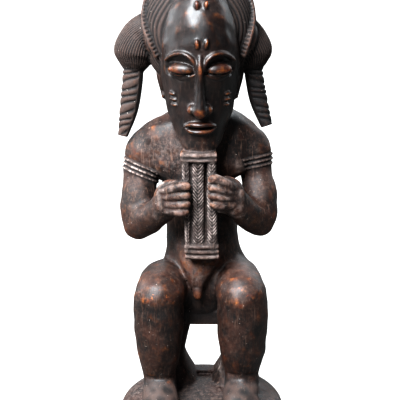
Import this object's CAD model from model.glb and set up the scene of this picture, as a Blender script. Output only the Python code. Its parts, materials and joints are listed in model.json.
# %% [markdown]
# # A seated figure, carved from one block of dark wood
# The real figure is a single piece of wood: body, stool and round base were cut from one log, rubbed
# with oil and dark stain, and then handled for years. This lesson rebuilds it the way a carver works.
# First the large forms are roughed out and run into each other, then the smaller forms are set on
# them, then a gouge cuts the hair, the plaits and the lines, and last comes the worn finish.
# The frame holds the same figure as a plain solid, so every number here is in its millimetres:
# X to the viewer's right, the figure looks along -Y, Z is up from the underside of the base.

import json
import math

import bpy
import numpy as np
from mathutils import Matrix, Vector

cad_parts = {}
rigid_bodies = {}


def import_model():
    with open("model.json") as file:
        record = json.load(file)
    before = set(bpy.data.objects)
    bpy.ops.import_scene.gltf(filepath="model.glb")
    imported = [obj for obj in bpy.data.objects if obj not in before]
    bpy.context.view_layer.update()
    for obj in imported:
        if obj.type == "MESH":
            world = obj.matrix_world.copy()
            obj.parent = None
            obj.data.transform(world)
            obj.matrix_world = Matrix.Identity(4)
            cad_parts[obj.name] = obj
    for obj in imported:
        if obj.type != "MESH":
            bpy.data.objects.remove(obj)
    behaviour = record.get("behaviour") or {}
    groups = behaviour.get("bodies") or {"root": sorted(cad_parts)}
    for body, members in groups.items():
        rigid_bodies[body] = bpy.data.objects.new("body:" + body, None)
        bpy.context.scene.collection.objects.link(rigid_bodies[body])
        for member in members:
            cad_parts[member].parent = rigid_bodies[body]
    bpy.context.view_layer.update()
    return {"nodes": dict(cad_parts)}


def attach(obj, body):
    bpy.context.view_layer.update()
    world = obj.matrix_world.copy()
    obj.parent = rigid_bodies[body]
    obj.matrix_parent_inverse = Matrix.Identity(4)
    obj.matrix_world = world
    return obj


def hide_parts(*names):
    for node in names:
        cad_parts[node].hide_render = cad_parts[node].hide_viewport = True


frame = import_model()
MM = 0.001
print("nodes in the frame:", len(frame["nodes"]))

# %% [markdown]
# ## Growing a form ring by ring
# Arms, legs, braids and fingers are all tubes that change in girth. By hand such a form starts as a
# filled circle, whose face is extruded, moved, turned and scaled again and again. The function below
# does that with the same operators. A station is x, y, z, half width and half depth. Between the
# stations the rings follow a smooth curve, so few stations are enough. A level form keeps its rings
# flat, like slices of a log; the others keep them square to the way the form runs. A square form
# has flatter sides than a round one.


# %% Helpers: a clear selection and a smooth run of stations
def clear_selection():
    if bpy.context.object and bpy.context.object.mode != "OBJECT":
        bpy.ops.object.mode_set(mode="OBJECT")
    bpy.ops.object.select_all(action="DESELECT")


def choose(form):
    clear_selection()
    form.select_set(True)
    bpy.context.view_layer.objects.active = form


def flowing(stations, rings):
    # A smooth curve through the stations, carried straight on at both ends.
    rows = np.array([list(s) + [s[3]] * (5 - len(s)) for s in stations], float)
    rows = np.vstack([2 * rows[0] - rows[1], rows, 2 * rows[-1] - rows[-2]])
    flow = []
    for t in np.linspace(0, len(rows) - 3, rings):
        i = min(int(t), len(rows) - 4)
        f = t - i
        a, b, c, d = rows[i : i + 4]
        flow.append(b + f * (c - a + f * (2 * a - 5 * b + 4 * c - d + f * (3 * b - a - 3 * c + d))) / 2)
    return np.array(flow)


def frames_along(rows, level=False, across=(1, 0, 0)):
    ways = np.tile([0.0, 0.0, 1.0], (len(rows), 1)) if level else np.gradient(rows[:, :3], axis=0)
    turns = []
    for way in ways:
        along = Vector(way).normalized()
        wide = (Vector(across) - along * Vector(across).dot(along)).normalized()
        turns.append(Matrix((wide, along.cross(wide), along)).transposed())
    return turns


# %% Helper: a form grown by extruding
LEAST_HALF = 0.3


def turn_selected(rotation, centre):
    # Without a window transform.rotate turns the other way, so each angle is negated.
    for axis, angle in zip("XYZ", rotation.to_euler("XYZ")):
        bpy.ops.transform.rotate(value=-angle, orient_axis=axis, orient_type="GLOBAL", center_override=centre)


def grow(stations, rings=14, sides=24, level=False, across=(1, 0, 0), squareness=2.0):
    rows = flowing(stations, rings)
    turns = frames_along(rows, level, across)
    clear_selection()
    bpy.ops.mesh.primitive_circle_add(vertices=sides, radius=MM, fill_type="NGON")
    form = bpy.context.object
    for corner in form.data.vertices:
        reach = sum((abs(v) / MM) ** squareness for v in corner.co[:2]) ** (1 / squareness)
        corner.co = corner.co / reach + Vector(rows[0][:3]) * MM
    bpy.ops.object.mode_set(mode="EDIT")
    bpy.ops.mesh.select_all(action="SELECT")
    centre = Vector(rows[0][:3]) * MM
    size = (1.0, 1.0)
    turned = Matrix.Identity(3)
    for k, row in enumerate(rows):
        if k:
            step = Vector(row[:3]) * MM - centre
            bpy.ops.mesh.extrude_region_move(TRANSFORM_OT_translate={"value": step})
            centre = Vector(row[:3]) * MM
        wide, deep = max(row[3], LEAST_HALF), max(row[4], LEAST_HALF)
        if not level:
            turn_selected(turned.transposed(), centre)
        bpy.ops.transform.resize(value=(wide / size[0], deep / size[1], 1), center_override=centre)
        if not level:
            turn_selected(turns[k], centre)
        size, turned = (wide, deep), turns[k]
    bpy.ops.mesh.select_all(action="SELECT")
    bpy.ops.mesh.normals_make_consistent(inside=False)
    bpy.ops.object.mode_set(mode="OBJECT")
    return form


# %% Helpers: balls, joining and modifiers
def ball(at, half, turn=(0, 0, 0), segments=24, ring_count=16):
    clear_selection()
    bpy.ops.mesh.primitive_uv_sphere_add(
        segments=segments,
        ring_count=ring_count,
        radius=MM,
        location=[v * MM for v in at],
        rotation=[math.radians(v) for v in turn],
        scale=half,
    )
    bpy.ops.object.transform_apply(location=True, rotation=True, scale=True)
    return bpy.context.object


def join_forms(forms, name):
    clear_selection()
    for form in forms:
        form.select_set(True)
    bpy.context.view_layer.objects.active = forms[0]
    bpy.ops.object.join()
    forms[0].name = name
    return forms[0]


def apply_modifier(form, kind, **settings):
    choose(form)
    modifier = form.modifiers.new(kind.title(), kind)
    for key, value in settings.items():
        setattr(modifier, key, value)
    bpy.ops.object.modifier_apply(modifier=modifier.name)


# %% [markdown]
# ## What differs between the two sides
# A carver cuts the second side by eye, so no pair on the figure is a true mirror image. One lock of
# hair stands further out and its braid hangs lower; one elbow and hand sit a few millimetres lower.
# Each side has its own list, the viewer's left first. Places are x, y and z with x counted outwards,
# and the other numbers are heights, half widths and half depths. The fan says how far the root of each
# finger lies below its tip, an armlet has a height and a slant in radians, and the last row says how
# dark the ridges of the braid are and how chalky the dashes of the armlet.

# %% The pairs
CHIN = 287
EYES = CHIN + 80
NOSE_BASE = (EYES + CHIN) / 2
MOUTH = NOSE_BASE - (NOSE_BASE - CHIN) / 3
SPINE = 36
SHIN = -18
KNEE = 143
PAIRS = [
    dict(
        sign=-1, shoulder=280, arm_shift=1.8, arm=(56.8, 17.2),
        elbow=(59, 14, 208), wrist=(41, -5, 223), palm=(28, -16, 242),
        fingers=(258.5, 249.5, 241, 233.5), fan=(6, 3.5, 2, 0.5), finger_tip=9.8, armlet=(254.5, 0.42),
        bun=60, braid=((62, 37, 360, 9.4), (63.5, 35, 340, 9.8), (67.2, 32, 314, 8.8), (73, 26, 290, 4.8)),
        plait_shift=3, hip=(131, 12), haunch=(141, 24, 20.5),
        knee=39.6, ankle=(39.2, -16, 59), ankle_girth=14.8, calf=23.4,
        dark_braid=0, chalk=0.9,
    ),
    dict(
        sign=1, shoulder=282, arm_shift=-1.8, arm=(54.4, 15.4),
        elbow=(57.2, 14, 211.8), wrist=(40, -5, 227), palm=(26.5, -16, 245.5),
        fingers=(265.5, 257, 248.8, 240.5), fan=(9, 6.5, 4, 2), finger_tip=8.6, armlet=(263, 0.2),
        bun=47, braid=((49, 37, 360, 8.6), (51.5, 35, 342, 8.8), (55.6, 32, 322, 8.4), (63, 26, 300, 5.6)),
        plait_shift=0, hip=(138.5, 17.5), haunch=(143, 25, 22.5),
        knee=40.8, ankle=(40.5, -16, 62), ankle_girth=16, calf=24.2,
        dark_braid=1, chalk=0.25,
    ),
]
print("heights in mm: chin", CHIN, "mouth", round(MOUTH, 1), "nose", NOSE_BASE, "eyes", EYES)


def sided(sign, rows):
    return [(sign * x, *rest) for x, *rest in rows]


# %% [markdown]
# ## Roughing out the body
# Trunk, limbs and skull are grown as separate closed forms that overlap well. A real carving has no
# seams between them, so they are joined, remeshed as one skin of small voxels, and smoothed until
# every joint is a soft hollow, as rasp and sandpaper leave it.

# %% Trunk and belly
trunk = grow([
    (0, SPINE + 2, 113, 40, 33), (1, SPINE + 2, 138, 47, 38), (4.5, SPINE, 158, 40.5, 34),
    (2.5, SPINE, 180, 35.4, 29), (1, SPINE, 212, 34.2, 28), (-1.8, SPINE, 240, 34.2, 29),
    (-5.5, SPINE, 254, 37.5, 29), (-1, SPINE, 264, 50, 29.5), (-1.5, SPINE, 275, 58, 29),
    (-1, SPINE, 288.5, 59, 26.5), (0, SPINE, 296.8, 54, 24.5), (2.2, SPINE, 304, 44, 23),
    (3.2, SPINE, 309.8, 33, 22), (2, SPINE, 317, 24, 21), (0, SPINE - 3, 338, 21, 22)],
    rings=52, sides=48, level=True, squareness=2.2)
belly = grow([
    (0, 24, 204, 18, 8), (0, 14, 186, 24, 13), (-1, 7, 170, 19, 13.5), (-2, 0, 154, 10, 10),
    (-2, -3, 144, 5, 6)], rings=16, level=True)
body = [trunk, belly]
print("faces of the trunk:", len(trunk.data.polygons))


# %% Limbs
def upper_arm_rows(pair):
    elbow, shoulder, shift, arm = pair["elbow"], pair["shoulder"], pair["arm_shift"], pair["arm"]
    return sided(pair["sign"], [
        (44 + shift, SPINE + 1, shoulder + 14, 5, 6), (46 + shift, SPINE + 1, shoulder + 7, 14, 15),
        (49.5 + shift, SPINE + 1, shoulder - 4, 19, 20), (52.5 + shift, SPINE, 266, 18.8),
        (arm[0], SPINE - 6, 248, arm[1]), (elbow[0] - 0.5, elbow[1] + 9, elbow[2] + 26, 16.8),
        (elbow[0], elbow[1] + 3, elbow[2] + 8, 17.2), (elbow[0] - 1, elbow[1] - 2, elbow[2] - 9, 13.8),
        (elbow[0] - 2, elbow[1] - 4, elbow[2] - 17, 5)])


for pair in PAIRS:
    sign, elbow, wrist, palm = pair["sign"], pair["elbow"], pair["wrist"], pair["palm"]
    knee, ankle, girth, calf = pair["knee"], pair["ankle"], pair["ankle_girth"], pair["calf"]
    (hip_z, hip_half), haunch = pair["hip"], pair["haunch"]
    chest = ball((sign * 22, SPINE - 18, 266), (24, 10, 19))
    upper_arm = grow(upper_arm_rows(pair), rings=26)
    forearm = grow(sided(sign, [
        (elbow[0] + 6, elbow[1] + 6, elbow[2] - 3, 9), (elbow[0] - 2, elbow[1], elbow[2], 16.5),
        (*wrist, 13.8), (palm[0] + 3, palm[1] + 3, palm[2] - 5, 14)]), rings=16, across=(0, -1, 0))
    hand = ball((sign * palm[0], palm[1], palm[2]), (16, 10.5, 20), turn=(0, sign * -14, 0))
    knuckles = ball(
        (sign * (palm[0] - 7), palm[1] - 3, palm[2] + 1.5), (14, 8.5, 19), turn=(0, sign * -8, 0))
    thigh = grow(sided(sign, [
        (27, SPINE + 26, hip_z - 3, 9), (29, SPINE + 14, hip_z, 21, hip_half), (33, SPINE - 8, *haunch),
        (knee - 3, SHIN + 22, KNEE + 2, 23.5), (knee - 0.5, SHIN - 2, KNEE + 1, 23.5, 23),
        (knee, SHIN - 17, KNEE - 1, 16), (knee, SHIN - 24, KNEE - 2, 4)]), rings=24, sides=32)
    shin = grow(sided(sign, [
        (knee, SHIN, KNEE + 12, 15, 14), (knee, SHIN, KNEE - 2, 23.8, 23), (knee, SHIN, 110, calf, 22),
        (knee + 0.2, SHIN + 1, 84, calf - 2.6, 20), (*ankle, girth + 0.8, 15),
        (ankle[0], ankle[1], 33, girth + 1, 17)]), rings=24, sides=32)
    foot = grow(sided(sign, [
        (ankle[0], 6, 41, 9, 6), (ankle[0], -6, 46, 15, 15), (ankle[0] - 0.5, -26, 47.5, 17, 16),
        (ankle[0] - 1, -46, 40, 18.5, 10.5), (ankle[0] - 1, -60, 34, 18, 6)]), rings=16)
    body += [chest, upper_arm, forearm, hand, knuckles, thigh, shin, foot]
print("rough forms of the body:", len(body))

# %% Skull and hair masses
CAP_HALF, CAP_TOP = (54, 44, 62), 455
CAP_CENTRE = (-1.5, SPINE, CAP_TOP - CAP_HALF[2])
SKULL = [(0, -14, CHIN - 1, 10, 7), (0, -9, CHIN + 4, 17.5, 15), (0, 6, CHIN + 18, 24, 32),
         (0, 14, CHIN + 36, 31, 41), (0, 20, CHIN + 60, 35.5, 46), (0, 21, CHIN + 84, 37.5, 51),
         (0, 21, CHIN + 106, 36.5, 51), (0, 20, CHIN + 128, 31, 44), (0, 20, CHIN + 146, 21, 31),
         (0, 20, CHIN + 155, 9, 14)]
body.append(grow(SKULL, rings=44, sides=48, level=True))


def bun_rows(pair):
    bun = pair["bun"]
    return sided(pair["sign"], [
        (bun - 25, 34, 408, 6, 10), (bun - 14, 36, 397, 11, 16), (bun - 4.5, 38, 385, 16.6, 20.5),
        (bun, 39, 370, 20.6, 21.5), (bun + 1, 38, 360, 16.5, 16.5), (bun + 2, 37, 350, 9, 9)])


hair = [ball(CAP_CENTRE, CAP_HALF, segments=64, ring_count=48)]
for pair in PAIRS:
    hair.append(grow(bun_rows(pair), rings=24, sides=32))
    hair.append(ball((pair["sign"] * 42, 24, 383), (11, 15, 18), turn=(0, pair["sign"] * 14, 0)))
print("masses of hair:", len(hair))

# %% Run the rough forms into each other
ROUGH_VOXEL = 1.6
block = join_forms(body, "seated_carving")
apply_modifier(block, "REMESH", mode="VOXEL", voxel_size=ROUGH_VOXEL * MM)
apply_modifier(block, "SMOOTH", factor=0.5, iterations=28)
print("roughed-out faces:", len(block.data.polygons))

# %% [markdown]
# ## Cutting with a gouge
# Some cuts follow a path over the skin, such as the eye sockets, the line of the mouth and creases.
# Others repeat along a tube, such as combed hair and braids. For those every point of the skin
# is asked where it lies on its tube, how far along and how far round, and is lowered by a wave of
# those two numbers. The helpers below do both on the mesh's points, in millimetres.


# %% Helpers: the points of the skin, and soft steps
def read_skin(form):
    count = len(form.data.vertices)
    points = np.empty(count * 3, np.float32)
    normals = np.empty(count * 3, np.float32)
    form.data.vertices.foreach_get("co", points)
    form.data.vertices.foreach_get("normal", normals)
    return points.reshape(-1, 3).astype(float) / MM, normals.reshape(-1, 3).astype(float)


def write_skin(form, points):
    form.data.vertices.foreach_set("co", (points * MM).astype(np.float32).ravel())
    form.data.update()


def ease(value, low, high):
    share = np.clip((value - low) / (high - low), 0, 1)
    return share * share * (3 - 2 * share)


def between(value, start, full, fade, end):
    return ease(value, start, full) * (1 - ease(value, fade, end))


def cuts(phase, sharpness=2.0):
    # 1 at the bottom of each cut, 0 on the ridge halfway to the next.
    return np.abs(phase % 1.0 * 2 - 1) ** sharpness


# %% Helpers: a cut along a path, and a place on a tube
FRONT_REACH = 12


def gouge(points, normals, path, width, depth, from_front=False):
    # A cut from the front follows the path as seen from there, however deep the skin lies.
    path = np.array(path, float)
    reach = np.array((width, FRONT_REACH if from_front else width, width))
    inside = (points > path.min(0) - reach) & (points < path.max(0) + reach)
    near = np.flatnonzero(inside.all(1) & ((normals[:, 1] < -0.1) | (not from_front)))
    gap = np.full(len(near), np.inf)
    seen = np.array((1, 0 if from_front else 1, 1))
    for start, end in zip(path[:-1], path[1:]):
        run = (end - start) * seen
        share = np.clip((points[near] - start) @ run / (run @ run), 0, 1)
        gap = np.minimum(gap, np.linalg.norm((points[near] - start - share[:, None] * run) * seen, axis=1))
    lowered = np.clip(1 - (2 * gap / width) ** 2, 0, 1) * depth
    points[near] -= normals[near] * lowered[:, None]


def place_on_tube(points, stations, across=(1, 0, 0), rings=90, margin=3):
    # Gives the points near the tube, and for each its way along (0 to 1), its angle round the tube
    # and its distance from the axis, where 1 is the tube's own skin.
    rows = flowing(stations, rings)
    axes = np.array(frames_along(rows, across=across)).transpose(0, 2, 1)
    reach = rows[:, 3:].max() + margin
    inside = (points > rows[:, :3].min(0) - reach) & (points < rows[:, :3].max(0) + reach)
    near = np.flatnonzero(inside.all(1))
    ring = np.linalg.norm(points[near, None] - rows[None, :, :3], axis=2).argmin(1)
    offset = np.einsum("nij,nj->ni", axes[ring], points[near] - rows[ring, :3])
    wide, deep = offset[:, 0] / rows[ring, 3], offset[:, 1] / rows[ring, 4]
    spacing = np.linalg.norm(np.diff(rows[:, :3], axis=0), axis=1).mean()
    along = np.clip((ring + offset[:, 2] / spacing) / (rings - 1), 0, 1)
    return near, along, np.arctan2(deep, wide), np.hypot(wide, deep)


# %% Eye sockets, spine and ankle creases
points, normals = read_skin(block)
for sign in (-1, 1):
    socket = [(sign * 8, -24, EYES + 4), (sign * 17, -20, EYES + 3), (sign * 27, -11, EYES)]
    gouge(points, normals, socket, width=19, depth=3.4)
back_furrow = [(0, 66, 300), (0, 64, 250), (1, 64, 200), (2, 72, 160)]
gouge(points, normals, back_furrow, width=16, depth=3.5)
seat_cleft = [(2, 74, 152), (1, 74, 128)]
gouge(points, normals, seat_cleft, width=10, depth=4)
for pair in PAIRS:
    x, y, z = pair["ankle"]
    crease = [(x + a, y - 19 + 0.045 * a * a, z + 5 - 0.012 * a * a) for a in range(-15, 16, 5)]
    gouge(points, normals, sided(pair["sign"], crease), width=6, depth=1.6)
print("points of the rough skin:", len(points))

# %% The unevenness that a knife leaves
KNIFE_DEPTH, KNIFE_WAVES, SHORT_WAVE, LONG_WAVE = 0.11, 14, 11, 26
luck = np.random.default_rng(11)
for _ in range(KNIFE_WAVES):
    way = luck.normal(size=3)
    way *= 2 * math.pi / luck.uniform(SHORT_WAVE, LONG_WAVE) / np.linalg.norm(way)
    points += normals * (KNIFE_DEPTH * np.sin(points @ way + luck.uniform(0, 6)))[:, None]
write_skin(block, points)
print("knife waves:", KNIFE_WAVES, "of", KNIFE_DEPTH, "mm")

# %% [markdown]
# ## The forms set on the body
# Stool and base stay crisper than the flesh, and so do fingers, toes, beard, braids and the features
# of the face. They are grown in the same way, apart from the seat, which starts as a box, and they are
# joined after the smoothing.

# %% Base
BASE = [(0, 0, 0, 78), (0, 0, 3.5, 81), (0, 0, 9, 82), (1.5, -1, 16, 80.5), (2.5, -3, 23, 78.3),
        (3.5, -5, 28.5, 71.2), (3.5, -6, 32.5, 56.5), (3, -7, 35, 32), (3, -7, 36, 2)]
details = [grow(BASE, rings=30, sides=72, level=True)]
print("base in mm, across and high:", 2 * max(row[3] for row in BASE), BASE[-1][2])

# %% Stool: two waisted supports with a low ledge between them
STOOL_X, LEDGE_Y = 6, 39
for sign, out in ((-1, 33.5), (1, 31)):
    x = STOOL_X + sign * out
    details.append(grow([
        (x - sign * 1.5, 31, 16, 27, 32), (x - sign * 1.5, 32, 34, 24, 29), (x, 33, 50, 17, 25),
        (x, 33, 64, 12.5, 22), (x, 34, 83.5, 15.5, 27), (x + sign, 35, 107, 22, 34)],
        rings=24, sides=32, level=True, squareness=3.0))
details.append(grow([
    (STOOL_X, LEDGE_Y, 30, 36, 5), (STOOL_X, LEDGE_Y, 35.5, 36, 5.5),
    (STOOL_X, LEDGE_Y, 38, 36, 7.2), (STOOL_X, LEDGE_Y, 39.2, 35, 6)],
    rings=12, sides=40, level=True, squareness=4.0))
print("forms of base and supports:", len(details))

# %% Seat: a board that curls up at both ends
SEAT_TOP, SEAT_UNDER, SEAT_HALF, SEAT_DEPTH, SEAT_Y = 117, 103, 53, 69, 39.5
SEAT_MIDDLE = (SEAT_TOP + SEAT_UNDER) / 2
RISE_ABOVE, RISE_BELOW, SEAT_EDGE = 5, 2, 2
clear_selection()
bpy.ops.mesh.primitive_cube_add(
    size=1,
    location=(STOOL_X * MM, SEAT_Y * MM, SEAT_MIDDLE * MM),
    scale=(2 * SEAT_HALF * MM, SEAT_DEPTH * MM, (SEAT_TOP - SEAT_UNDER) * MM),
)
bpy.ops.object.transform_apply(location=True, rotation=True, scale=True)
seat = bpy.context.object
bpy.ops.object.mode_set(mode="EDIT")
bpy.ops.mesh.select_all(action="SELECT")
bpy.ops.mesh.subdivide(number_cuts=15)
bpy.ops.object.mode_set(mode="OBJECT")
for vertex in seat.data.vertices:
    out = abs(vertex.co.x / MM - STOOL_X) / SEAT_HALF
    rise = RISE_ABOVE if vertex.co.z > SEAT_MIDDLE * MM else RISE_BELOW
    vertex.co.z += rise * out**2 * MM
apply_modifier(seat, "BEVEL", width=SEAT_EDGE * MM, segments=2, limit_method="ANGLE")
details.append(seat)
print("faces of the seat:", len(seat.data.polygons))

# %% Hands, toes and loins
SHORT_LAST_FINGER, TOES, TOE_PITCH = 1.5, 5, 7.2
for pair in PAIRS:
    sign, palm, ankle = pair["sign"], pair["palm"], pair["ankle"]
    for i, (z, drop) in enumerate(zip(pair["fingers"], pair["fan"])):
        tip = pair["finger_tip"] + (SHORT_LAST_FINGER if i == 3 else 0)
        details.append(grow(sided(sign, [
            (palm[0] + 10, -17, z - 1.5 * drop, 2.6, 3), (palm[0] + 3, -22.4, z - drop, 3.9, 4.2),
            (palm[0] - 5, -26, z - 0.4 * drop, 4.4, 4.8), (tip + 6, -27.6, z, 4.3, 4.6),
            (tip + 1.8, -27, z, 4, 4.2), (tip, -26, z, 2.4, 2.8)]),
            rings=20, sides=16, across=(0, 0, 1), squareness=2.3))
    for i in range(TOES):
        girth = 4.6 - 0.35 * i
        out, tip = ankle[0] - 15 + TOE_PITCH * i, -68 + 1.6 * i
        details.append(grow(sided(sign, [
            (out, -44, 40.5, girth * 0.8), (out, -56, 37.6, girth), (out, tip + 4, 35, girth, girth * 0.95),
            (out, tip, 33.6, girth * 0.8, girth * 0.7), (out, tip - 1.2, 33, girth * 0.3)]),
            rings=14, sides=14))
loins = [(-2, 1, 152, 8, 8), (-2, -4, 146, 5.6, 6), (-2, -6.5, 140, 4.4), (-2, -7.4, 136, 2.2)]
details.append(grow(loins, rings=14))
print("forms set on the body so far:", len(details))

# %% [markdown]
# ## The face
# The face is a quiet, general one in the manner of such carvings, laid out by the drawing-book rule:
# eyes at half the height of the head, the nose's base halfway from there to the chin, the mouth a
# third of the way further. The brows run down into a long nose, the lids are heavy and lowered, and
# small raised scars stand on the forehead and cheeks.


# %% Features of the face
def face_y(x, z):
    rows = flowing(SKULL, 200)
    row = rows[np.abs(rows[:, 2] - z).argmin()]
    return row[1] - row[4] * math.sqrt(max(1 - (x / row[3]) ** 2, 0.02))


def on_face(x, z, rise, *size):
    return (x, face_y(x, z) - rise, z, *size)


EYE_X, EAR_X = 17, 36.5
nose = grow([
    on_face(0, EYES + 14, -2.5, 3, 3), on_face(0, EYES + 2, 0.5, 3.4, 5), on_face(0, EYES - 14, 3, 3.8, 6),
    on_face(0, NOSE_BASE + 9, 5.2, 5.4, 6.6), on_face(0, NOSE_BASE + 3.5, 5.4, 6.6, 6.8),
    on_face(0, NOSE_BASE, 3, 5, 5)], rings=20, sides=20)
features = [nose]
for sign in (-1, 1):
    wing = ball(on_face(sign * 7, NOSE_BASE + 4, 1.4), (4.8, 5.8, 4.4), turn=(0, sign * 20, 0))
    brow = grow([
        on_face(sign * 3.4, EYES + 1, 0.6, 1.8, 2.4), on_face(sign * 6.5, EYES + 10, 0.8, 2, 2.6),
        on_face(sign * 14, EYES + 15, 0.6, 2, 2.6), on_face(sign * 23, EYES + 13, 0.6, 2, 2.6),
        on_face(sign * 31, EYES + 5, 0.2, 1.6, 2)], rings=24, sides=12, across=(0, 0, 1))
    eye = ball(on_face(sign * EYE_X, EYES - 0.5, -2.4), (12.4, 6.6, 6.2), turn=(0, sign * 3, sign * 22))
    lower_lid = grow([
        on_face(sign * x, EYES - 8.6 + 0.034 * (x - EYE_X) ** 2, -0.6, half) for x, half in
        ((5, 1), (10, 1.5), (17, 1.7), (24, 1.5), (29, 1))], rings=20, sides=10, across=(0, 0, 1))
    features += [wing, brow, eye, lower_lid]
    for rise, z in ((3, 56), (2.6, 24)):
        at = on_face(sign * 4 + 1.5, EYES + z, -0.2)
        features.append(ball(at, (2.3, rise, 4.8), turn=(0, sign * 8, 0)))
    for i in range(3):
        at = on_face(sign * (25 - 0.8 * i), EYES - 25 - 5 * i, 0.3)
        features.append(ball(at, (4.4, 2.3, 1.6), turn=(0, 0, sign * 40)))
    ear_rim = grow(sided(sign, [
        (EAR_X - 2, 14, EYES - 6, 2.4, 3), (EAR_X + 1.5, 20, EYES - 2, 2.6, 3.4),
        (EAR_X + 2.5, 26, EYES - 8, 2.6, 3.4), (EAR_X + 1, 25, EYES - 20, 2.6, 3.2),
        (EAR_X - 2, 20, EYES - 30, 2.6, 3.2), (EAR_X - 3.5, 14, EYES - 36, 2.2, 3)]), rings=24, sides=12)
    ear = ball((sign * (EAR_X - 2.5), 18, EYES - 18), (3.4, 7, 13))
    features += [ear_rim, ear]
for lift in (1, -1):
    features.append(grow([
        on_face(-14, MOUTH, -0.4, 1.6, 2), on_face(-8, MOUTH + lift * 3.1, 1, 2.2, 3.4),
        on_face(0, MOUTH + lift * 3.3, 1.8, 2.5, 3.8), on_face(8, MOUTH + lift * 3.1, 1, 2.2, 3.4),
        on_face(14, MOUTH, -0.4, 1.6, 2)], rings=24, sides=14, across=(0, 0, 1)))
details += features
print("features of the face:", len(features))

# %% [markdown]
# ## Hair and beard
# Hair is one ribbed cap. A flat plait runs down each side of it, and behind the plait a combed lock
# swells out and hangs down as a twisted braid. The beard is three plaits side by side, bound with
# rolls above and below, on a web of wood left before the chest.

# %% Braids and flat side plaits
details += hair


def side_plait_rows(pair):
    x = pair["plait_shift"]
    return sided(pair["sign"], [
        (22 + x, 33, 446, 3, 1.6), (34.5 + x, 30, 437, 4.4, 2.2), (43 + x, 27, 423, 4.8, 2.4),
        (46.5 + x, 23, 410, 4.8, 2.5), (46 + x, 16, 398, 5, 2.6), (42.5 + 0.5 * x, 9.5, 385, 5, 2.7),
        (38.5, 8.5, 371, 3.8, 2.3)])


def side_plait_across(pair):
    return (0.7, -0.7 * pair["sign"], 0)


for pair in PAIRS:
    across = side_plait_across(pair)
    details.append(grow(sided(pair["sign"], pair["braid"]), rings=24, sides=20, squareness=2.5))
    details.append(grow(side_plait_rows(pair), rings=24, sides=16, across=across, squareness=2.6))
print("forms with the hair:", len(details))

# %% Plaits of the beard
BEARD_TOP, BEARD_END, BEARD_FRONT, BEARD_SLOPE = 289, 181, -26, 8


def beard_lean(z):
    # 0 at the top of the beard, 1 at its end.
    return (BEARD_TOP - z) / (BEARD_TOP - BEARD_END)


def beard_front(z):
    return BEARD_FRONT + BEARD_SLOPE * beard_lean(z)


# The left and right edge of each plait, at the top of the beard and at its end.
PLAIT_EDGES = (((-17.2, -9.2), (-13.4, -9.2)), ((-7.4, 3.8), (-7.4, 3.8)), ((6.3, 14.4), (6.8, 17)))
PLAIT_DEPTH = 7


def plait_sides(edges, z):
    return [top + (end - top) * beard_lean(z) for top, end in zip(*edges)]


def plait_row(edges, z):
    left, right = plait_sides(edges, z)
    return (left + right) / 2, beard_front(z) + PLAIT_DEPTH, z, (right - left) / 2 + 0.25, PLAIT_DEPTH


for edges in PLAIT_EDGES:
    rows = [plait_row(edges, z) for z in (287, 255, 222, 188)]
    details.append(grow(rows, rings=20, sides=32, level=True, squareness=3.6))
print("plaits of the beard:", len(PLAIT_EDGES))

# %% Rolls that bind the beard, and the web behind it
ROLLS = ((286.9, 2.7), (282.2, 2.6), (194.6, 2.7), (189.4, 2.6), (184, 3))
for z, thick in ROLLS:
    lean = beard_lean(z)
    left, right = -17.6 + 4 * lean, 14.8 + 2.6 * lean
    y = beard_front(z) + 6.4
    details.append(grow([
        (left, y + 0.8, z, thick, 7), ((left + right) / 2, y - 0.6, z, thick, 7.6),
        (right, y + 0.8, z, thick, 7)], rings=12, sides=24, across=(0, 0, 1), squareness=2.6))
web = [(0, 2, 182.5, 14, 18), (-1, 2, 288, 14, 19), (-1, 6, 302, 12, 16)]
details.append(grow(web, rings=6, sides=24, level=True, squareness=3.0))
print("rolls:", len(ROLLS), "forms to be joined:", len(details))

# %% [markdown]
# ## One skin
# The body and the forms set on it are still shells that overlap. A second remesh with smaller voxels
# makes one closed skin of them, as in the wood, and a little smoothing takes off the steps of the
# voxels. The weave of the beard needs smaller faces than the rest, so its front is subdivided once.

# %% One skin over everything
FINE_VOXEL = 0.85
block = join_forms([block] + details, "seated_carving")
apply_modifier(block, "REMESH", mode="VOXEL", voxel_size=FINE_VOXEL * MM)
apply_modifier(block, "SMOOTH", factor=0.5, iterations=3)
print("faces of the joined carving:", len(block.data.polygons))

# %% Smaller faces where the beard is woven
FINE_HALF, FINE_LOW, FINE_HIGH, FINE_DEPTH = 19, 194, 282, 4
choose(block)
for face in block.data.polygons:
    x, y, z = face.center / MM
    face.select = abs(x) < FINE_HALF and FINE_LOW < z < FINE_HIGH and abs(y - beard_front(z)) < FINE_DEPTH
bpy.context.tool_settings.mesh_select_mode = (False, False, True)
bpy.ops.object.mode_set(mode="EDIT")
bpy.ops.mesh.subdivide(number_cuts=1)
bpy.ops.object.mode_set(mode="OBJECT")
print("faces after the finer beard:", len(block.data.polygons))

# %% [markdown]
# ## Cutting the fine lines
# With everything in one skin the fine work begins: combed hair and twisted braids, the herringbone of
# the beard, the armlets, the slits of the lids and the line of the mouth.

# %% Comb the cap
COMB_PITCH, CAP_CUT, HAIRLINE = 3.1, 1.2, (330, 340)
points, normals = read_skin(block)
from_cap = np.linalg.norm((points - CAP_CENTRE) / CAP_HALF, axis=1)
on_cap = between(from_cap, 0.955, 0.985, 1.01, 1.03) * ease(points[:, 2], *HAIRLINE)
sway = 1.2 * np.sin(points[:, 2] / 17) + 0.6 * np.sin(points[:, 0] / 7 + points[:, 2] / 11)
sway *= 1 - ease(points[:, 1], SPINE, SPINE + 30)
lowered = on_cap * CAP_CUT * cuts((points[:, 1] + sway) / COMB_PITCH)
print("deepest cut in the cap, mm:", round(float(lowered.max()), 2))

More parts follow.
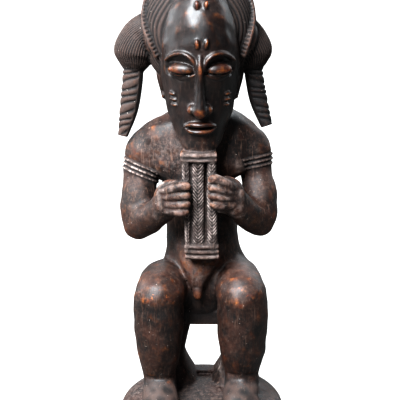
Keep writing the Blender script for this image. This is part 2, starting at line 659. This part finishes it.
# %% Comb the side locks, twist the braids, cut the rungs of the flat plaits
LOCK_STRANDS, LOCK_CUT = 48, 1.4
BRAID_TURNS, BRAID_STRANDS, BRAID_CUT = 10, 3, 1.5
PLAIT_RUNGS, RUNG_CUT = 24, 1.1


def press(near, share, depth, pattern):
    lowered[near] = lowered[near] * (1 - share) + share * depth * pattern


for pair in PAIRS:
    sign = pair["sign"]
    near, along, angle, ratio = place_on_tube(points, bun_rows(pair))
    share = between(ratio, 0.86, 0.94, 1.1, 1.25) * between(along, 0.1, 0.3, 0.9, 0.98)
    strands = cuts(angle * LOCK_STRANDS / (2 * math.pi) + 0.3 * np.sin(9 * along))
    press(near, share, LOCK_CUT, strands)
    near, along, angle, ratio = place_on_tube(points, sided(sign, pair["braid"]))
    share = between(ratio, 0.7, 0.85, 1.2, 1.35) * between(along, 0.08, 0.16, 0.97, 1.0)
    share *= ease(sign * 0.8 * normals[near, 0] - 0.6 * normals[near, 1], 0.0, 0.35)
    twist = BRAID_TURNS * along + sign * BRAID_STRANDS * angle / (2 * math.pi)
    twist += 0.2 * np.sin(19 * along + 3 * sign)
    press(near, share, BRAID_CUT, cuts(twist, 2.5))
    near, along, angle, ratio = place_on_tube(points, side_plait_rows(pair), side_plait_across(pair))
    share = between(ratio, 0.75, 0.9, 1.15, 1.3) * ease(along, 0.05, 0.12)
    rungs = cuts(PLAIT_RUNGS * along, 2) * (1 - ease(np.abs(np.cos(angle)), 0.72, 0.86))
    press(near, share, RUNG_CUT, rungs)
points -= normals * lowered[:, None]
print("points lowered in the hair:", int((lowered > 0).sum()))

# %% Weave the beard
HERRINGBONE_PITCH, HERRINGBONE_SLOPE, PLAIT_CUTS = 3.6, 1.15, (0.7, 1.3, 1.0)
from_front = np.abs(points[:, 1] - beard_front(points[:, 2]))
in_weave = (1 - ease(from_front, 2.2, 3.2)) * between(points[:, 2], 197, 198.5, 278, 279.5)
uneven = np.sin(points[:, 2] / 5.3 + points[:, 0] / 4)
woven = np.zeros(len(points))
for edges, deep in zip(PLAIT_EDGES, PLAIT_CUTS):
    left, right = plait_sides(edges, points[:, 2])
    aside = np.abs(points[:, 0] - (left + right) / 2)
    share = (aside < (right - left) / 2 + 0.3) * in_weave
    slanting = points[:, 2] - HERRINGBONE_SLOPE * aside + 0.4 * uneven
    weave = cuts(slanting / HERRINGBONE_PITCH, 1.6) * deep * (0.8 + 0.2 * uneven)
    middle_line = np.clip(1 - aside / 0.9, 0, 1) * 0.4
    woven += share * (weave + middle_line)
points -= normals * woven[:, None]
write_skin(block, points)
print("deepest cut in the beard, mm:", round(float(woven.max()), 2))

# %% Raise the armlets: three rows of dashes slanting round each upper arm
ARMLET_X, ARMLET_TILT, ARMLET_PITCH, DASHES = 54.5, 0.25, 4.4, 26
CORD_HALF, CORD_RISE, FURROW = 1.5, 1.15, 0.5
ARM_FROM_X, ARM_FROM_Z = 33, 225


def armlet_level(pair, points):
    height, slant = pair["armlet"]
    middle = np.array((pair["sign"] * (ARMLET_X + pair["arm_shift"]), SPINE - 5, height))
    upright = np.array((-pair["sign"] * math.sin(slant), ARMLET_TILT, math.cos(slant)))
    return (points - middle) @ upright


points, normals = read_skin(block)
for pair in PAIRS:
    near, along, angle, ratio = place_on_tube(points, upper_arm_rows(pair))
    level = armlet_level(pair, points[near])
    on_arm = (ratio < 1.35) * ((points[near, 0] * pair["sign"]) > ARM_FROM_X)
    for row in (-1, 0, 1):
        cord = np.clip(1 - ((level - row * ARMLET_PITCH) / CORD_HALF) ** 2, 0, 1)
        gaps = cuts(angle * DASHES / (2 * math.pi) + 0.5 * row, 6)
        furrow = np.clip(1 - (level - (row + 0.5) * ARMLET_PITCH) ** 2, 0, 1) * FURROW
        points[near] += normals[near] * (on_arm * (CORD_RISE * cord * (1 - 0.75 * gaps) - furrow))[:, None]
    print("points on the armlet:", int((on_arm * (np.abs(level) < 1.5 * ARMLET_PITCH)).sum()))

# %% Lids, mouth and creases
for sign in (-1, 1):
    slit = [on_face(sign * x, EYES - 4.4 + 0.014 * (x - EYE_X) ** 2, 3) for x in np.linspace(6.5, 28, 9)]
    gouge(points, normals, slit, width=2.4, depth=2.2, from_front=True)
    fold = [on_face(sign * x, EYES + 6.6 - 0.024 * (x - EYE_X) ** 2, 2) for x in np.linspace(6, 28, 9)]
    gouge(points, normals, fold, width=2.2, depth=0.9, from_front=True)
    nostril = [(sign * x, face_y(x, NOSE_BASE) - out, NOSE_BASE - 0.5) for x, out in ((5, 5), (6, 3))]
    gouge(points, normals, nostril, width=3.4, depth=1.6)
mouth_line = [on_face(x, MOUTH, 2.4) for x in np.linspace(-12, 12, 9)]
gouge(points, normals, mouth_line, width=2.2, depth=1.6, from_front=True)
write_skin(block, points)
print("points of the carved skin:", len(points))

# %% [markdown]
# ## Thinning
# The skin now has far more faces than its shape needs on the smooth thighs and the base, and just
# enough in the hair. Decimate takes them away where the surface is flat and keeps them in the cuts.
# Some faces keep four corners and count as two triangles. The count stays above the 200,000 triangles
# of an STL file, so the export thins that file once more.


# %% Thin the mesh
def count_triangles(form):
    return sum(len(face.vertices) - 2 for face in form.data.polygons)


TRIANGLES_KEPT = 240_000
triangles = count_triangles(block)
apply_modifier(block, "DECIMATE", ratio=min(1.0, TRIANGLES_KEPT / triangles))
choose(block)
bpy.ops.object.shade_smooth()
print("triangles before", triangles, "after", count_triangles(block), "in faces", len(block.data.polygons))

# %% [markdown]
# ## Where the finish is worn, and where dust lies
# Hands polish a figure on its high places: knees, nose, lids, lips and finger joints lose their dark
# stain first. Dust and old wax stay in the cuts. Both can be read from the shape: a relaxed copy of the
# skin shows how far each point stands above or below its surroundings. Attributes keep that for the
# material. Others mark the hair, the most rubbed places, the dry wood and the remains of chalk.

# %% Measure high and low places
points, normals = read_skin(block)
side, depth, height = points.T
edges = np.empty(len(block.data.edges) * 2, np.int32)
block.data.edges.foreach_get("vertices", edges)
edges = edges.reshape(-1, 2)
neighbours = np.bincount(edges.ravel(), minlength=len(points))[:, None]


def relaxed(values, rounds):
    for _ in range(rounds):
        total = np.zeros_like(values)
        for here, there in ((0, 1), (1, 0)):
            for k in range(values.shape[1]):
                total[:, k] += np.bincount(edges[:, here], values[edges[:, there], k], len(values))
        values = 0.5 * values + 0.5 * total / neighbours
    return values


def softened(values, rounds):
    return relaxed(values[:, None], rounds)[:, 0]


stands_out = ((points - relaxed(points, 14)) * normals).sum(1)
worn = ease(stands_out, 0.3, 1.0) * ease(height, 36, 60)
ridge = ease(stands_out, 0.0, 0.35)
low = ease(-stands_out, 0.1, 0.55)
print("highest and lowest place, mm:", round(float(stands_out.max()), 2), round(float(stands_out.min()), 2))


# %% Helpers: near a place, and on an armlet
def near_place(at, reach):
    return np.exp(-(((points - at) / reach) ** 2).sum(1))


def on_armlet(pair, half):
    outside = (side * pair["sign"] > ARM_FROM_X) * (height > ARM_FROM_Z)
    return (np.abs(armlet_level(pair, points)) < half) * outside


# %% Mark the hair, and places that are as dark
# Soot under the seat and grime on the feet look like the cuts in the hair, so they share its mark.
from_cap = np.linalg.norm((points - CAP_CENTRE) / CAP_HALF, axis=1)
on_cap = from_cap < 1.012
hairy = on_cap * ease(height, *HAIRLINE)
for pair in PAIRS:
    braid, plait = sided(pair["sign"], pair["braid"]), side_plait_rows(pair)
    for rows, reach in ((bun_rows(pair), 1.1), (braid, 1.25), (plait, 1.5)):
        near, along, angle, ratio = place_on_tube(points, rows)
        hairy[near] = np.maximum(hairy[near], ratio < reach)
    hairy = np.maximum(hairy, on_armlet(pair, 6.5))
from_front = np.abs(depth - beard_front(height))
on_beard = (np.abs(side) < 18.5) * (height > 180) * (height < 290) * (from_front < 3.4)
under_seat = near_place((4, 4, 112), (30, 26, 20))
on_feet = between(height, 36, 39, 56, 62) * (1 - ease(depth, 4, 12))
hairy = softened(np.maximum.reduce([hairy, 0.5 * on_beard, under_seat, 0.85 * on_feet]), 2)
print("points of hair and soot:", int((hairy > 0.5).sum()))

# %% Darken some ridges of the hair
# The inner sides of the braids, all of the right one, the crown and the right plait are less rubbed.
crown = on_cap * ease(height, 372, 384)
right_plait = near_place((47, 16, 396), (9, 16, 26))
ridge *= (1 - under_seat) * (1 - 0.6 * right_plait) * (1 - 0.3 * crown)
for pair in PAIRS:
    sign = pair["sign"]
    on_braid = (side * sign > 40) * (depth > 10) * between(height, 285, 292, 352, 366)
    turned_in = 1 - ease(sign * 0.8 * normals[:, 0] - 0.6 * normals[:, 1], -0.1, 0.4)
    ridge *= 1 - on_braid * np.maximum(turned_in, pair["dark_braid"])
print("points on bright ridges:", int((ridge > 0.5).sum()))

# %% Mark worn and rubbed places
BELLY, LEFT_CHEST, LEFT_FOREARM, RIGHT_FOREARM = (0, 2, 173), (-32, 8, 278), (-50, 2, 214), (50, -4, 220)
worn = np.maximum.reduce([
    worn, 0.6 * near_place(BELLY, (26, 18, 15)), 0.13 * near_place(LEFT_CHEST, (26, 20, 18)),
    0.22 * near_place(LEFT_FOREARM, (24, 20, 18)), 0.25 * near_place(RIGHT_FOREARM, (20, 16, 14))])
rubbed = np.zeros(len(points))
for pair in PAIRS:
    sign, elbow = pair["sign"], pair["elbow"]
    rubbed += 0.9 * near_place((sign * pair["knee"], SHIN - 16, KNEE + 11), (22, 14, 12))
    rubbed += 0.45 * near_place((sign * elbow[0], elbow[1] - 10, elbow[2] - 6), (16, 14, 12))
    for z in pair["fingers"]:
        rubbed += 0.6 * near_place((sign * (pair["finger_tip"] + 5), -32, z - 1), (8, 4, 4))
    rubbed += 0.7 * near_place((sign * EYE_X, face_y(EYE_X, EYES) - 4, EYES + 1), (12, 6, 4))
rubbed += 0.8 * near_place((0, face_y(0, NOSE_BASE) - 12, NOSE_BASE + 4), (9, 8, 6))
rubbed = np.clip(rubbed, 0, 1)
print("rubbed points:", int((rubbed > 0.5).sum()))

# %% Mark dusty places
UNDER_BELLY, BASE_RIM = (0, -2, 168), (34, 40)
weave_share = np.where(np.abs(height - 238.5) < 40, 1.0, 0.6)
lies_up = ease(normals[:, 2], 0.1, 0.6) * (1 - ease(height, 58, 66))
on_base = 1 - ease(height, *BASE_RIM)
dusty = np.maximum.reduce([
    0.5 * low * (1 - hairy), 0.05 * lies_up, 0.5 * on_base, weave_share * on_beard,
    0.6 * near_place(UNDER_BELLY, (26, 16, 20)), 0.6 * near_place(LEFT_CHEST, (30, 20, 20))])
print("dusty points:", int((dusty > 0.3).sum()))

# %% Mark the dry, weathered wood
# The face is polished by hands and the legs partly; the rest is dry.
head = ease(height, 296, 306) * (np.abs(side) < 42) * (1 - ease(depth, 20, 40)) * (1 - hairy)
legs = between(height, 56, 64, 150, 190)
weathered = np.clip(1 - 0.8 * softened(head, 4) - 0.45 * legs, 0, 1)
print("polished points:", int((weathered < 0.5).sum()))

# %% Mark remains of chalk, on ridges of the armlets, the beard and the hands
LEDGE_SPOT = (21, 24, 47)
on_hands = (np.abs(side) < 44) * (depth < -20) * (np.abs(height - 247) < 24) * (1 - on_beard)
chalky = np.maximum.reduce([
    (1.2 * weave_share - 0.42) * on_beard * ease(stands_out, -0.05, 0.4),
    0.9 * near_place(LEDGE_SPOT, (5, 8, 5)),
    0.27 * on_hands * ease(stands_out, 0.0, 0.5)])
for pair in PAIRS:
    chalky = np.maximum(chalky, on_armlet(pair, 6.2) * ease(stands_out, 0.2, 0.7) * pair["chalk"])
print("chalky points:", int((chalky > 0.3).sum()))

# %% Keep the marks with the mesh
PLACES = dict(
    worn=worn, dust=dusty, rubbed=rubbed, hair=hairy, ridge=ridge, weathered=weathered, chalk=chalky)
for name, values in PLACES.items():
    attribute = block.data.attributes.new(name, "FLOAT", "POINT")
    attribute.data.foreach_set("value", values.astype(np.float32))
    print("mean of", name, round(float(values.mean()), 3))

# %% [markdown]
# ## Old stained hardwood
# The wood is a dense reddish hardwood. Stain, soot and palm oil turned its skin nearly black, with a
# satin polish. Through it shows a brown cloudiness some centimetres wide, fine grain along the log,
# red-brown bare wood on the high places and grey dust in the cuts.


# %% A colour function and a node function
def linear(hex_colour):
    parts = [int(hex_colour[i : i + 2], 16) / 255 for i in (1, 3, 5)]
    return tuple(v / 12.92 if v <= 0.04045 else ((v + 0.055) / 1.055) ** 2.4 for v in parts) + (1.0,)


def add(tree, kind, inputs=None, output=0, **settings):
    node = tree.nodes.new("ShaderNode" + kind)
    for key, value in settings.items():
        setattr(node, key, value)
    for key, value in (inputs or {}).items():
        if isinstance(value, bpy.types.NodeSocket):
            tree.links.new(value, node.inputs[key])
        else:
            node.inputs[key].default_value = value
    return node.outputs[output]


# %% The stain
# Stained hardwood, oiled and sooty: a near-black skin that lets warm brown through in clouds and along
# the grain. Real fibres are thinner than a pixel, so they are drawn wide enough to show. On the polished
# face the stain is thicker, and less of the clouds and fibres comes through.
STAIN_BLACK, STAIN_BROWN, STAIN_RED = "#130d0c", "#3d241b", "#482618"
CLOUD_MM, FIBRE_MM, ALONG_GRAIN = 30, 1.6, 0.07
wood = bpy.data.materials.new("stained_hardwood")
wood.use_nodes = True
tree = wood.node_tree
shader = tree.nodes["Principled BSDF"]
place = add(tree, "TexCoord", output="Object")
weathered = add(tree, "Attribute", output="Fac", attribute_name="weathered")
thin_stain = add(tree, "MapRange", {"Value": weathered, "From Min": 0.2, "From Max": 0.55, "To Min": 0.3})
clouds = add(tree, "TexNoise", {
    "Vector": place, "Scale": 1 / (CLOUD_MM * MM), "Detail": 6, "Roughness": 0.65})
clouds = add(tree, "MapRange", {
    "Value": clouds, "From Min": 0.38, "From Max": 0.7}, interpolation_type="SMOOTHSTEP")
clouds = add(tree, "Math", {0: clouds, 1: thin_stain}, operation="MULTIPLY")
stretched = add(tree, "Mapping", {"Vector": place, "Scale": (1, 1, ALONG_GRAIN)})
fibres = add(tree, "TexNoise", {
    "Vector": stretched, "Scale": 1 / (FIBRE_MM * MM), "Detail": 3, "Roughness": 0.6})
fibre_share = add(tree, "MapRange", {"Value": fibres, "From Min": 0.5, "From Max": 0.8, "To Max": 0.6})
fibre_share = add(tree, "Math", {0: fibre_share, 1: thin_stain}, operation="MULTIPLY")
colour = add(tree, "Mix", {0: clouds, 6: linear(STAIN_BLACK), 7: linear(STAIN_BROWN)}, 2, data_type="RGBA")
colour = add(tree, "Mix", {0: fibre_share, 6: colour, 7: linear(STAIN_RED)}, 2, data_type="RGBA")
print("nodes of the stain:", len(tree.nodes))

# %% Dry skin, pits and scratches
# Where hands do not polish it, the skin dries to a mottled grey brown with slanting scratches, which are
# drawn wider than real ones so that they show. Small dark pits are everywhere.
DRY_STAIN, MOTTLE_MM, SCRATCH_MM, ALONG_SCRATCH = "#71584b", 3.5, 1.8, 0.09
mottle = add(tree, "TexNoise", {
    "Vector": place, "Scale": 1 / (MOTTLE_MM * MM), "Detail": 8, "Roughness": 0.8})
mottle_share = add(tree, "MapRange", {"Value": mottle, "From Min": 0.5, "From Max": 0.66, "To Max": 0.55})
mottle_share = add(tree, "Math", {0: mottle_share, 1: weathered}, operation="MULTIPLY")
pits = add(tree, "MapRange", {"Value": mottle, "From Min": 0.44, "From Max": 0.36, "To Max": 0.8})
colour = add(tree, "Mix", {0: pits, 6: colour, 7: linear(STAIN_BLACK)}, 2, data_type="RGBA")
colour = add(tree, "Mix", {0: mottle_share, 6: colour, 7: linear(DRY_STAIN)}, 2, data_type="RGBA")
slanted = add(tree, "Mapping", {
    "Vector": place, "Rotation": (0.5, 0.7, 0.3), "Scale": (1, 1, ALONG_SCRATCH)})
scratches = add(tree, "TexNoise", {"Vector": slanted, "Scale": 1 / (SCRATCH_MM * MM), "Detail": 2})
scratches = add(tree, "MapRange", {"Value": scratches, "From Min": 0.62, "From Max": 0.68, "To Max": 0.55})
scratches = add(tree, "Math", {0: scratches, 1: weathered}, operation="MULTIPLY")
colour = add(tree, "Mix", {0: scratches, 6: colour, 7: linear(DRY_STAIN)}, 2, data_type="RGBA")
print("nodes with the dry skin:", len(tree.nodes))

# %% Bare wood on the high places
# Rubbed knees, fingers, lids and nose and the worn belly show a warm red brown, in patches.
BARE_WOOD, PALE_WOOD, PATCH_MM, TINT_MM = "#6f3217", "#a5622f", 8, 5
patches = add(tree, "TexNoise", {
    "Vector": place, "Scale": 1 / (PATCH_MM * MM), "Detail": 7, "Roughness": 0.68})
rub = add(tree, "Attribute", output="Fac", attribute_name="rubbed")
rub = add(tree, "Math", {0: rub, 1: 0.19, 2: patches}, operation="MULTIPLY_ADD")
bare = add(tree, "MapRange", {
    "Value": rub, "From Min": 0.725, "From Max": 0.76}, interpolation_type="SMOOTHSTEP")
wear = add(tree, "Attribute", output="Fac", attribute_name="worn")
wear_share = add(tree, "MapRange", {"Value": patches, "From Min": 0.4, "From Max": 0.62, "To Max": 0.85})
wear = add(tree, "Math", {0: wear, 1: wear_share}, operation="MULTIPLY")
bare = add(tree, "Math", {0: bare, 1: wear}, operation="MAXIMUM")
tint = add(tree, "TexNoise", {"Vector": place, "Scale": 1 / (TINT_MM * MM), "Detail": 3})
tint = add(tree, "MapRange", {"Value": tint, "From Min": 0.4, "From Max": 0.62})
tint = add(tree, "Mix", {0: tint, 6: linear(BARE_WOOD), 7: linear(PALE_WOOD)}, 2, data_type="RGBA")
print("nodes with the bare wood:", len(tree.nodes))

# %% Dust in the low places, strands of hair
# The hair is dark in its cuts and dull grey on its ridges. Bare wood lies over the dust, hair over both.
HAIR_CUT, HAIR_RIDGE, DUST = "#0d0a0a", "#4a3a34", "#6e6461"
hair = add(tree, "Attribute", output="Fac", attribute_name="hair")
ridge = add(tree, "Attribute", output="Fac", attribute_name="ridge")
strand = add(tree, "Mix", {0: ridge, 6: linear(HAIR_CUT), 7: linear(HAIR_RIDGE)}, 2, data_type="RGBA")
strand_share = add(tree, "MapRange", {
    "Value": mottle, "From Min": 0.3, "From Max": 0.6, "To Min": 0.45, "To Max": 1.0})
strand_share = add(tree, "Math", {0: strand_share, 1: hair}, operation="MULTIPLY")
dust = add(tree, "Attribute", output="Fac", attribute_name="dust")
dust_share = add(tree, "MapRange", {"Value": mottle, "From Min": 0.44, "From Max": 0.62, "To Max": 0.9})
dust = add(tree, "Math", {0: dust, 1: dust_share}, operation="MULTIPLY")
colour = add(tree, "Mix", {0: dust, 6: colour, 7: linear(DUST)}, 2, data_type="RGBA")
colour = add(tree, "Mix", {0: bare, 6: colour, 7: tint}, 2, data_type="RGBA")
colour = add(tree, "Mix", {0: strand_share, 6: colour, 7: strand}, 2, data_type="RGBA")
print("nodes with dust and hair:", len(tree.nodes))

# %% Chalk on the armlets and beard, and chips where the stain has sprung off
CHALK, CHIP, CHIP_MM = "#bbaaa3", "#93877f", 3.4
chalk = add(tree, "Attribute", output="Fac", attribute_name="chalk")
chalk_share = add(tree, "MapRange", {"Value": patches, "From Min": 0.44, "From Max": 0.6})
chalk = add(tree, "Math", {0: chalk, 1: chalk_share}, operation="MULTIPLY")
colour = add(tree, "Mix", {0: chalk, 6: colour, 7: linear(CHALK)}, 2, data_type="RGBA")
chip_gap = add(tree, "TexVoronoi", {"Vector": place, "Scale": 1 / (CHIP_MM * MM)}, "Distance")
chip_luck = add(tree, "SeparateXYZ", {"Vector": chip_gap.node.outputs["Color"]}, "X")
chip_size = add(tree, "MapRange", {"Value": chip_luck, "From Min": 0.72, "From Max": 1.0, "To Max": 0.16})
chip_room = add(tree, "MapRange", {"Value": weathered, "From Min": 0.2, "From Max": 0.5})
chip_size = add(tree, "Math", {0: chip_size, 1: chip_room}, operation="MULTIPLY")
chips = add(tree, "Math", {0: chip_gap, 1: chip_size}, operation="LESS_THAN")
colour = add(tree, "Mix", {0: chips, 6: colour, 7: linear(CHIP)}, 2, data_type="RGBA")
tree.links.new(colour, shader.inputs["Base Color"])
print("nodes with chalk and chips:", len(tree.nodes))

# %% Sheen and fine relief
# The face is polished by hands; body, hair and base are drier.
POLISH_MM, RELIEF_MM, GLOSS = 12, 0.5, 0.65
polish = add(tree, "TexNoise", {"Vector": place, "Scale": 1 / (POLISH_MM * MM), "Detail": 5})
polish = add(tree, "MapRange", {
    "Value": polish, "From Min": 0.3, "From Max": 0.7, "To Min": 0.33, "To Max": 0.46})
rough = add(tree, "Math", {0: weathered, 1: 0.22, 2: polish}, operation="MULTIPLY_ADD")
rough = add(tree, "Math", {0: mottle_share, 1: 0.3, 2: rough}, operation="MULTIPLY_ADD")
rough = add(tree, "Math", {0: dust, 1: 0.5, 2: rough}, operation="MULTIPLY_ADD")
rough = add(tree, "Math", {0: hair, 1: 0.15, 2: rough}, operation="MULTIPLY_ADD", use_clamp=True)
tree.links.new(rough, shader.inputs["Roughness"])
relief = add(tree, "Math", {0: fibres, 1: 0.5, 2: mottle}, operation="MULTIPLY_ADD")
relief_share = add(tree, "MapRange", {"Value": weathered, "To Min": 0.3, "To Max": 1.0})
relief = add(tree, "Math", {0: relief, 1: relief_share}, operation="MULTIPLY")
bump = add(tree, "Bump", {"Height": relief, "Strength": 0.7, "Distance": RELIEF_MM * MM})
tree.links.new(bump, shader.inputs["Normal"])
shader.inputs["Specular IOR Level"].default_value = GLOSS
block.data.materials.clear()
block.data.materials.append(wood)
print("nodes of the wood:", len(tree.nodes))

# %% [markdown]
# ## Studio
# The photograph was taken on white paper, from a little above. A large soft light stands over the front
# left; weak ones at both sides and behind draw pale edges on the dark wood, and a dim dome, brighter
# above, fills the rest. The paper is overexposed to plain white in the picture but throws back only a
# little light. Lens and distance give the same slight perspective.

# %% Floor
FLOOR_SIZE = 14
clear_selection()
bpy.ops.mesh.primitive_plane_add(size=FLOOR_SIZE)
floor = bpy.context.object
floor.name = "studio_floor"
paper = bpy.data.materials.new("white_paper")
paper.use_nodes = True
sheet = paper.node_tree.nodes["Principled BSDF"]
sheet.inputs["Base Color"].default_value = linear("#5a5a58")
sheet.inputs["Roughness"].default_value = 0.9
sheet.inputs["Emission Color"].default_value = linear("#fafafa")
burnt_out = add(paper.node_tree, "LightPath", output="Is Camera Ray")
paper.node_tree.links.new(burnt_out, sheet.inputs["Emission Strength"])
floor.data.materials.append(paper)
print("floor in m across:", FLOOR_SIZE)

# %% Camera
TARGET = Vector((0, 11, 231)) * MM
FRAME_PX, FOCAL_PX, SENSOR_MM = 400, 1300, 36
elevation, distance = math.radians(20), 1235 * MM
camera_data = bpy.data.cameras.new("photo_view")
camera = bpy.data.objects.new("photo_view", camera_data)
bpy.context.scene.collection.objects.link(camera)
camera.location = TARGET + distance * Vector((0, -math.cos(elevation), math.sin(elevation)))
camera.rotation_euler = (math.pi / 2 - elevation, 0, 0)
camera_data.sensor_width = SENSOR_MM
camera_data.lens = SENSOR_MM * FOCAL_PX / FRAME_PX
bpy.context.scene.camera = camera
print("lens in mm:", camera_data.lens)

# %% Dome
bpy.context.scene.view_settings.view_transform = "Standard"
bpy.context.scene.view_settings.look = "High Contrast"
GLOW_BELOW, GLOW_ABOVE = 0.05, 0.26
world = bpy.data.worlds.new("studio")
bpy.context.scene.world = world
world.use_nodes = True
dome = world.node_tree
background = dome.nodes["Background"]
background.inputs["Color"].default_value = linear("#f6f9ff")
way = add(dome, "TexCoord", output="Generated")
up = add(dome, "SeparateXYZ", {"Vector": way}, "Z")
glow = add(dome, "MapRange", {"Value": up, "To Min": GLOW_BELOW, "To Max": GLOW_ABOVE})
seen = add(dome, "LightPath", output="Is Camera Ray")
glow = add(dome, "Math", {0: glow, 1: seen}, operation="MAXIMUM")
dome.links.new(glow, background.inputs["Strength"])
print("nodes of the dome:", len(dome.nodes))

# %% Lamps
# Each has a name, a place in metres, its watts and its size in metres.
DAYLIGHT = (0.9, 0.96, 1.0)
LAMPS = (("key_left", (-0.52, -0.74, 1.3), 70, 0.8), ("left_rim", (-1.15, 0.5, 0.6), 10, 0.7),
         ("right_rim", (0.95, 0.85, 0.7), 6, 0.7), ("back_light", (0.2, 1.3, 0.9), 10, 1.0))
for name, at, energy, size in LAMPS:
    light = bpy.data.lights.new(name, "AREA")
    light.energy, light.size, light.color = energy, size, DAYLIGHT
    lamp = bpy.data.objects.new(name, light)
    bpy.context.scene.collection.objects.link(lamp)
    lamp.location = at
    lamp.rotation_euler = (TARGET - Vector(at)).to_track_quat("-Z", "Y").to_euler()
print("lamps:", len(LAMPS))

# %% Tie the carving to the frame and finish
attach(block, "root")
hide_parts("seated_figure")
